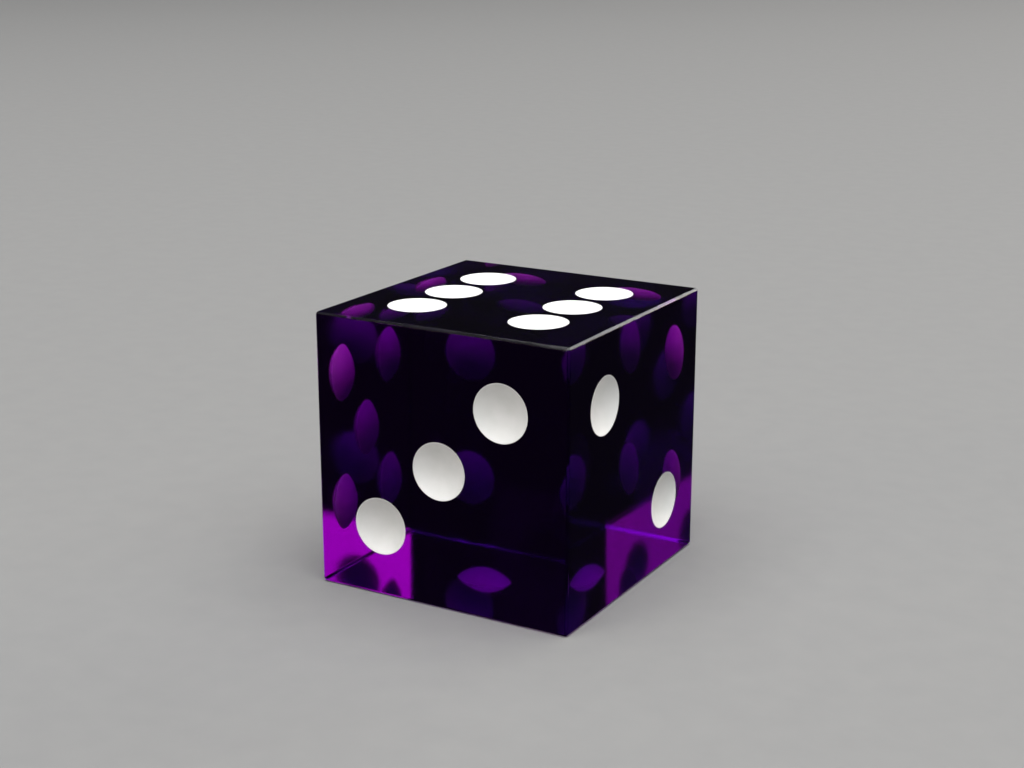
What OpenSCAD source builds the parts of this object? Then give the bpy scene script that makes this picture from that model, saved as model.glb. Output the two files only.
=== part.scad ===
// Precision casino die: a clear purple cube with a dished white enamel pip in each pocket.
// The die stands on its one, with its six up: +Z is the six, -Y the three, +X the two,
// +Y the four and -X the five. The origin is the centre of the bottom face.

/* [Cube] */
// Length of every side of the finished cube
edge = 19.05; // [16:0.05:25]
// Width of the fine break along each edge, measured along a face
edge_break = 0.15; // [0.05:0.05:0.5]

/* [Pips] */
// Diameter of a pip where it meets the face
pip_d = 3.98; // [3.2:0.01:4.2]
// Distance of the outer pips from the face's two centre lines
pip_offset = 4.64; // [4.5:0.01:5.2]
// Width of the level ring of enamel around the hollow of a pip
pip_rim = 0.03; // [0.02:0.01:0.2]
// Depth of the round-bottomed pocket that holds a pip
pocket_depth = 0.82; // [0.7:0.01:1.3]
// Depth of the hollow in the enamel
hollow_depth = 0.55; // [0.2:0.01:0.65]

/* [Hidden] */
$fn = 96;
plastic = [0.2, 0.03, 0.28];
enamel = [0.96, 0.96, 0.93];

// Where the pips of each pattern lie on a face, in steps of pip_offset.
middle = [[0, 0]];
diagonal = [[-1, -1], [1, 1]];
corners = [[-1, -1], [1, 1], [1, -1], [-1, 1]];
middle_pair = [[-1, 0], [1, 0]];

// One row a face: its name, the turn that takes +Z to its outward direction, and its pips.
FACES = [
    ["one", [180, 0, 0], middle],
    ["two", [0, 90, 0], diagonal],
    ["three", [90, 0, 0], concat(middle, diagonal)],
    ["four", [-90, 0, 0], corners],
    ["five", [0, -90, 0], concat(middle, corners)],
    ["six", [0, 0, 0], concat(corners, middle_pair)],
];

function pip_name(face, n) = str(face[0], "_pip_", n + 1);
PIP_NODES = [for (face = FACES) for (n = [0:len(face[2]) - 1]) pip_name(face, n)];

// Radius of the sphere that cuts a hollow of the given radius and depth into a flat face.
function cutter_radius(r, depth) = (r * r + depth * depth) / (2 * depth);

// The cube, centred, with all twelve edges broken at 45 degrees.
module blank() {
    across = sqrt(2) * (edge - edge_break);
    intersection() {
        cube(edge, center = true);
        rotate([45, 0, 0]) cube([2 * edge, across, across], center = true);
        rotate([0, 45, 0]) cube([across, 2 * edge, across], center = true);
        rotate([0, 0, 45]) cube([across, across, 2 * edge], center = true);
    }
}

// Moves its children to a pip's place, where z = 0 is the face and -z is into the plastic.
module at_pip(face, place) {
    translate([0, 0, edge / 2])
        rotate(face[1])
            translate([place[0] * pip_offset, place[1] * pip_offset, edge / 2])
                children();
}

// The ball that leaves a hollow of the given radius and depth in the plane z = 0.
module cutter(r, depth) {
    translate([0, 0, cutter_radius(r, depth) - depth]) sphere(r = cutter_radius(r, depth));
}

module die_body() {
    color(plastic)
        difference() {
            translate([0, 0, edge / 2]) blank();
            for (face = FACES, place = face[2])
                at_pip(face, place) cutter(pip_d / 2, pocket_depth);
        }
}

// One enamel pip: it fills its pocket to the rim and is hollowed from the front.
module pip(face, place) {
    color(enamel)
        at_pip(face, place)
            difference() {
                intersection() {
                    cutter(pip_d / 2, pocket_depth);
                    translate([0, 0, -edge / 4]) cube([pip_d * 2, pip_d * 2, edge / 2], center = true);
                }
                cutter(pip_d / 2 - pip_rim, hollow_depth);
            }
}

die_body();
for (face = FACES, n = [0:len(face[2]) - 1])
    pip(face, face[2][n]);
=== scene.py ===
import math

import bpy
from mathutils import Matrix, Vector


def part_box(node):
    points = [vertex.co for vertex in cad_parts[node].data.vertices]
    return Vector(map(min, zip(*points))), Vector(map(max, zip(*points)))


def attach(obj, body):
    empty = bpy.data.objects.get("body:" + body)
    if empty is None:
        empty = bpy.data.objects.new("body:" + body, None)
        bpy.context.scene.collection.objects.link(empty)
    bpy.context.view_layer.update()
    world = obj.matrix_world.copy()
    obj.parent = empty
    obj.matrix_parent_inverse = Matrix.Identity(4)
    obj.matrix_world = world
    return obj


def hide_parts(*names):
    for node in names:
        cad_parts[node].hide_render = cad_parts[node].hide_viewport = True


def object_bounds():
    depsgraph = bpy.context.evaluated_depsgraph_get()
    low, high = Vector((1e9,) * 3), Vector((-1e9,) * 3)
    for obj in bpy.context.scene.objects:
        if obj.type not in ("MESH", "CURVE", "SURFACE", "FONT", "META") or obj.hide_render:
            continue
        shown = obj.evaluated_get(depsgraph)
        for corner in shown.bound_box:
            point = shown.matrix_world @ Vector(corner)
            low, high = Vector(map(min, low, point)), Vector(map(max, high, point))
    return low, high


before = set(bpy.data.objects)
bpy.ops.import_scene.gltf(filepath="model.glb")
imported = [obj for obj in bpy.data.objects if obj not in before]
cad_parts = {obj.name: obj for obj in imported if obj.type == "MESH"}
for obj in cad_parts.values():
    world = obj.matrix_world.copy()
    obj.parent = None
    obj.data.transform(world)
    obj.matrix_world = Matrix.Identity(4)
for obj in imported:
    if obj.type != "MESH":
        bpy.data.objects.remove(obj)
cad_low, cad_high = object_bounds()

# ---------------------------------------------------------------------------------------------
# The die body. One cube of clear purple cellulose acetate, sawn from a thick sheet, its faces
# sanded and polished flat and its edges left almost sharp. A ball-ended cutter has sunk a
# round-bottomed pocket for each pip.
# ---------------------------------------------------------------------------------------------
edge = cad_high.z - cad_low.z
middle = (cad_low + cad_high) / 2
edge_break = 0.0079 * edge
edge_softening = 0.15 * edge_break
pip_nodes = sorted(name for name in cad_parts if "_pip_" in name)
pip_low, pip_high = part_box("six_pip_1")
pip_radius = (pip_high.x - pip_low.x) / 2
pocket_depth = pip_high.z - pip_low.z
pocket_ball = (pip_radius ** 2 + pocket_depth ** 2) / (2 * pocket_depth)
cutter_rim = 0.2 * pocket_depth
bowl_segments = 96
bowl_rings = 128
merge_distance = 1e-8
crease = math.radians(25)


def add_bowl(name, ball, depth, rim, closed):
    """The bottom of a ball, this deep below the origin, cut off level at the height rim."""
    bpy.ops.object.select_all(action="DESELECT")
    bpy.ops.mesh.primitive_uv_sphere_add(
        segments=bowl_segments, ring_count=bowl_rings, radius=ball, location=(0, 0, ball - depth))
    bowl = bpy.context.object
    bowl.name = name
    bpy.ops.object.transform_apply(location=True, rotation=True, scale=True)
    bpy.ops.object.mode_set(mode="EDIT")
    bpy.ops.mesh.select_all(action="SELECT")
    bpy.ops.mesh.bisect(
        plane_co=(0, 0, rim),
        plane_no=(0, 0, 1),
        use_fill=closed,
        clear_outer=True,
        threshold=merge_distance)
    bpy.ops.object.mode_set(mode="OBJECT")
    return bowl


def pip_place(node):
    """The turn and shift that carry a pip lying level at the origin to its own pocket."""
    low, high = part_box(node)
    size = high - low
    axis = min(range(3), key=lambda k: size[k])
    rim = (low + high) / 2
    outward = Vector((0, 0, 0))
    outward[axis] = 1 if rim[axis] > middle[axis] else -1
    rim[axis] = high[axis] if outward[axis] > 0 else low[axis]
    turn = Vector((0, 0, 1)).rotation_difference(outward).to_matrix().to_4x4()
    return Matrix.Translation(rim) @ turn


def add_copy(master, name, place):
    """A copy of a master piece with a mesh of its own, carried to its place."""
    piece = bpy.data.objects.new(name, master.data.copy())
    bpy.context.collection.objects.link(piece)
    piece.data.transform(place)
    piece.data.update()
    return piece


bpy.ops.object.select_all(action="DESELECT")
bpy.ops.mesh.primitive_cube_add(size=edge, location=middle)
body = bpy.context.object
body.name = "clear_cube"
bpy.ops.object.transform_apply(location=True, rotation=True, scale=True)
bpy.ops.object.mode_set(mode="EDIT")
bpy.ops.mesh.select_all(action="SELECT")
bpy.ops.mesh.bevel(offset=edge_break, segments=1)
bpy.ops.mesh.select_all(action="SELECT")
bpy.ops.mesh.bevel(offset=edge_softening, segments=2)
bpy.ops.object.mode_set(mode="OBJECT")

cutter_master = add_bowl("cutter", pocket_ball, pocket_depth, cutter_rim, closed=True)
cutters = [add_copy(cutter_master, "cutter_" + node, pip_place(node)) for node in pip_nodes]
bpy.data.objects.remove(cutter_master)
bpy.ops.object.select_all(action="DESELECT")
for cutter in cutters:
    cutter.select_set(True)
bpy.context.view_layer.objects.active = cutters[0]
bpy.ops.object.join()
bpy.ops.object.select_all(action="DESELECT")
body.select_set(True)
bpy.context.view_layer.objects.active = body
bpy.ops.object.modifier_add(type="BOOLEAN")
pockets = body.modifiers[-1]
pockets.operation = "DIFFERENCE"
pockets.solver = "EXACT"
pockets.object = cutters[0]
bpy.ops.object.modifier_apply(modifier=pockets.name)
bpy.data.objects.remove(cutters[0])
bpy.ops.object.shade_smooth_by_angle(angle=crease)
bpy.ops.object.modifier_add(type="WEIGHTED_NORMAL")
flat_faces = body.modifiers[-1]
flat_faces.keep_sharp = True
flat_faces.weight = 100
bpy.ops.object.modifier_apply(modifier=flat_faces.name)

# The colour is in the depth of the plastic, and its polish has a faint haze.
plastic = bpy.data.materials.new("clear_purple_plastic")
plastic.use_nodes = True
nodes, links = plastic.node_tree.nodes, plastic.node_tree.links
shader = nodes["Principled BSDF"]
shader.inputs["Base Color"].default_value = (1, 1, 1, 1)
shader.inputs["IOR"].default_value = 1.465
shader.inputs["Transmission Weight"].default_value = 1
place = nodes.new("ShaderNodeTexCoord")
haze = nodes.new("ShaderNodeTexNoise")
haze.inputs["Scale"].default_value = 160
haze.inputs["Detail"].default_value = 5
links.new(place.outputs["Object"], haze.inputs["Vector"])
polish = nodes.new("ShaderNodeMapRange")
polish.inputs["From Min"].default_value = 0.35
polish.inputs["From Max"].default_value = 0.75
polish.inputs["To Min"].default_value = 0.08
polish.inputs["To Max"].default_value = 0.11
links.new(haze.outputs["Fac"], polish.inputs["Value"])
links.new(polish.outputs["Result"], shader.inputs["Roughness"])
depth = nodes.new("ShaderNodeVolumeAbsorption")
depth.inputs["Color"].default_value = (0.8, 0.01, 0.885, 1)
depth.inputs["Density"].default_value = 500
links.new(depth.outputs["Volume"], nodes["Material Output"].inputs["Volume"])
body.data.materials.append(plastic)
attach(body, "root")
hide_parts("die_body")

# ---------------------------------------------------------------------------------------------
# The 21 pips. Each is white enamel, filled into its pocket and bonded to it, that has shrunk
# back to a dish as it set and keeps a thin level rim. One is made, and the rest are copies.
# ---------------------------------------------------------------------------------------------
hollow_depth = 0.67 * pocket_depth
rim_width = 0.015 * pip_radius
bond = 0.005e-3
sink = 0.003e-3

pip_master = add_bowl("pip", pocket_ball + bond, pocket_depth + bond, -sink, closed=False)
dish_radius = pip_radius - rim_width
dish_ball = (dish_radius ** 2 + hollow_depth ** 2) / (2 * hollow_depth)
dish = add_bowl("dish", dish_ball, hollow_depth, -sink, closed=False)
bpy.ops.object.mode_set(mode="EDIT")
bpy.ops.mesh.select_all(action="SELECT")
bpy.ops.mesh.flip_normals()
bpy.ops.object.mode_set(mode="OBJECT")
bpy.ops.object.select_all(action="DESELECT")
dish.select_set(True)
pip_master.select_set(True)
bpy.context.view_layer.objects.active = pip_master
bpy.ops.object.join()
bpy.ops.object.mode_set(mode="EDIT")
bpy.ops.mesh.select_mode(type="EDGE")
bpy.ops.mesh.select_all(action="DESELECT")
bpy.ops.mesh.select_non_manifold(extend=False)
bpy.ops.mesh.bridge_edge_loops()
bpy.ops.mesh.select_all(action="SELECT")
bpy.ops.mesh.normals_make_consistent(inside=False)
bpy.ops.object.mode_set(mode="OBJECT")
bpy.ops.object.shade_smooth_by_angle(angle=crease)

enamel = bpy.data.materials.new("white_enamel")
enamel.use_nodes = True
nodes, links = enamel.node_tree.nodes, enamel.node_tree.links
shader = nodes["Principled BSDF"]
shader.inputs["IOR"].default_value = 1.5
place = nodes.new("ShaderNodeTexCoord")
tint = nodes.new("ShaderNodeTexNoise")
tint.inputs["Scale"].default_value = 900
tint.inputs["Detail"].default_value = 4
links.new(place.outputs["Object"], tint.inputs["Vector"])
tint_range = nodes.new("ShaderNodeValToRGB")
tint_range.color_ramp.elements[0].position = 0.3
tint_range.color_ramp.elements[0].color = (0.88, 0.89, 0.87, 1)
tint_range.color_ramp.elements[1].position = 0.7
tint_range.color_ramp.elements[1].color = (0.95, 0.95, 0.94, 1)
links.new(tint.outputs["Fac"], tint_range.inputs["Fac"])
links.new(tint_range.outputs["Color"], shader.inputs["Base Color"])
gloss = nodes.new("ShaderNodeMapRange")
gloss.inputs["To Min"].default_value = 0.42
gloss.inputs["To Max"].default_value = 0.55
links.new(tint.outputs["Fac"], gloss.inputs["Value"])
links.new(gloss.outputs["Result"], shader.inputs["Roughness"])
ripple = nodes.new("ShaderNodeTexNoise")
ripple.inputs["Scale"].default_value = 3500
ripple.inputs["Detail"].default_value = 3
links.new(place.outputs["Object"], ripple.inputs["Vector"])
skin = nodes.new("ShaderNodeBump")
skin.inputs["Strength"].default_value = 0.25
skin.inputs["Distance"].default_value = 0.00002
links.new(ripple.outputs["Fac"], skin.inputs["Height"])
links.new(skin.outputs["Normal"], shader.inputs["Normal"])
pip_master.data.materials.append(enamel)

for node in pip_nodes:
    pip = add_copy(pip_master, node.replace("_pip_", "_enamel_"), pip_place(node))
    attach(pip, "root")
    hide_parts(node)
bpy.data.objects.remove(pip_master)

# ---------------------------------------------------------------------------------------------
# The table top: a plain pale board, matt, with a barely visible grain. The clear cube neither
# mirrors it nor shows it, and so stays as dark as on a dark cloth.
# ---------------------------------------------------------------------------------------------
floor_size = 250 * edge
floor_gap = 0.00004

bpy.ops.object.select_all(action="DESELECT")
bpy.ops.mesh.primitive_plane_add(size=floor_size, location=(0, 0, cad_low.z - floor_gap))
floor = bpy.context.object
floor.name = "table_top"
bpy.ops.object.transform_apply(location=True, rotation=True, scale=True)
table = bpy.data.materials.new("pale_table")
table.use_nodes = True
nodes, links = table.node_tree.nodes, table.node_tree.links
shader = nodes["Principled BSDF"]
shader.inputs["Roughness"].default_value = 0.85
shader.inputs["Specular IOR Level"].default_value = 0.1
place = nodes.new("ShaderNodeTexCoord")
grain = nodes.new("ShaderNodeTexNoise")
grain.inputs["Scale"].default_value = 400
links.new(place.outputs["Object"], grain.inputs["Vector"])
tone = nodes.new("ShaderNodeValToRGB")
tone.color_ramp.elements[0].color = (0.245, 0.245, 0.245, 1)
tone.color_ramp.elements[1].color = (0.265, 0.265, 0.262, 1)
links.new(grain.outputs["Fac"], tone.inputs["Fac"])
links.new(tone.outputs["Color"], shader.inputs["Base Color"])
floor.data.materials.append(table)
floor.visible_transmission = False
floor.visible_glossy = False

# ---------------------------------------------------------------------------------------------
# The studio light: one big soft panel overhead, one high on each side of the front corner, a
# faint one high at the back left, two low at the back right and one low at the left, in a dim
# room. The right-hand ones draw the bright line along the top edge of the two.
# ---------------------------------------------------------------------------------------------


def add_soft_lamp(name, azimuth, elevation, distance, width, height, radiance, tint):
    """A soft lamp facing the die, with its place in degrees and its size in die edges."""
    a, e = math.radians(azimuth), math.radians(elevation)
    away = Vector((math.cos(e) * math.cos(a), math.cos(e) * math.sin(a), math.sin(e)))
    bpy.ops.object.light_add(type="AREA", location=middle + away * distance * edge)
    lamp = bpy.context.object
    lamp.name = name
    lamp.rotation_euler = away.to_track_quat("Z", "Y").to_euler()
    lamp.data.shape = "RECTANGLE"
    lamp.data.size = width * edge
    lamp.data.size_y = height * edge
    lamp.data.energy = radiance * math.pi * width * height * edge * edge
    lamp.data.color = tint


white = (1, 1, 1)
warm = (1, 0.8, 0.6)
add_soft_lamp("overhead_panel", 15, 89.9, 80, 96, 96, 2.2, white)
add_soft_lamp("front_panel_left", -92, 60, 60, 50, 50, 2.7, white)
add_soft_lamp("front_panel_right", 2, 60, 60, 50, 50, 2.6, white)
add_soft_lamp("back_panel_left", 206, 55, 60, 34, 24, 0.33, white)
add_soft_lamp("low_right_panel", 60, 16, 50, 24, 16, 2.7, warm)
add_soft_lamp("high_right_panel", 82, 26, 50, 18, 16, 3.4, white)
add_soft_lamp("low_left_panel", 240, 19, 50, 22, 21, 1.4, warm)

bpy.context.scene.world = bpy.data.worlds.new("dim_room")
bpy.context.scene.world.use_nodes = True
background = bpy.context.scene.world.node_tree.nodes["Background"]
background.inputs["Color"].default_value = (1, 1, 1, 1)
background.inputs["Strength"].default_value = 0.012

# ---------------------------------------------------------------------------------------------
# The camera: a 61 mm lens, a little above the die. It looks at the front upright corner, with
# the six on top, the three at the left and the two at the right.
# ---------------------------------------------------------------------------------------------
azimuth = math.radians(-60)
elevation = math.radians(16.09)
distance = 6.232 * edge
aim_height = 0.686 * edge
away = Vector((
    math.cos(elevation) * math.cos(azimuth),
    math.cos(elevation) * math.sin(azimuth),
    math.sin(elevation)))
aim = Vector((middle.x, middle.y, cad_low.z + aim_height))
bpy.ops.object.camera_add(location=aim + away * distance)
camera = bpy.context.object
camera.rotation_euler = away.to_track_quat("Z", "Y").to_euler()
camera.data.lens = 60.7
camera.data.sensor_width = 36
camera.data.clip_start = 0.001
bpy.context.scene.camera = camera
bpy.context.scene.view_settings.view_transform = "Standard"
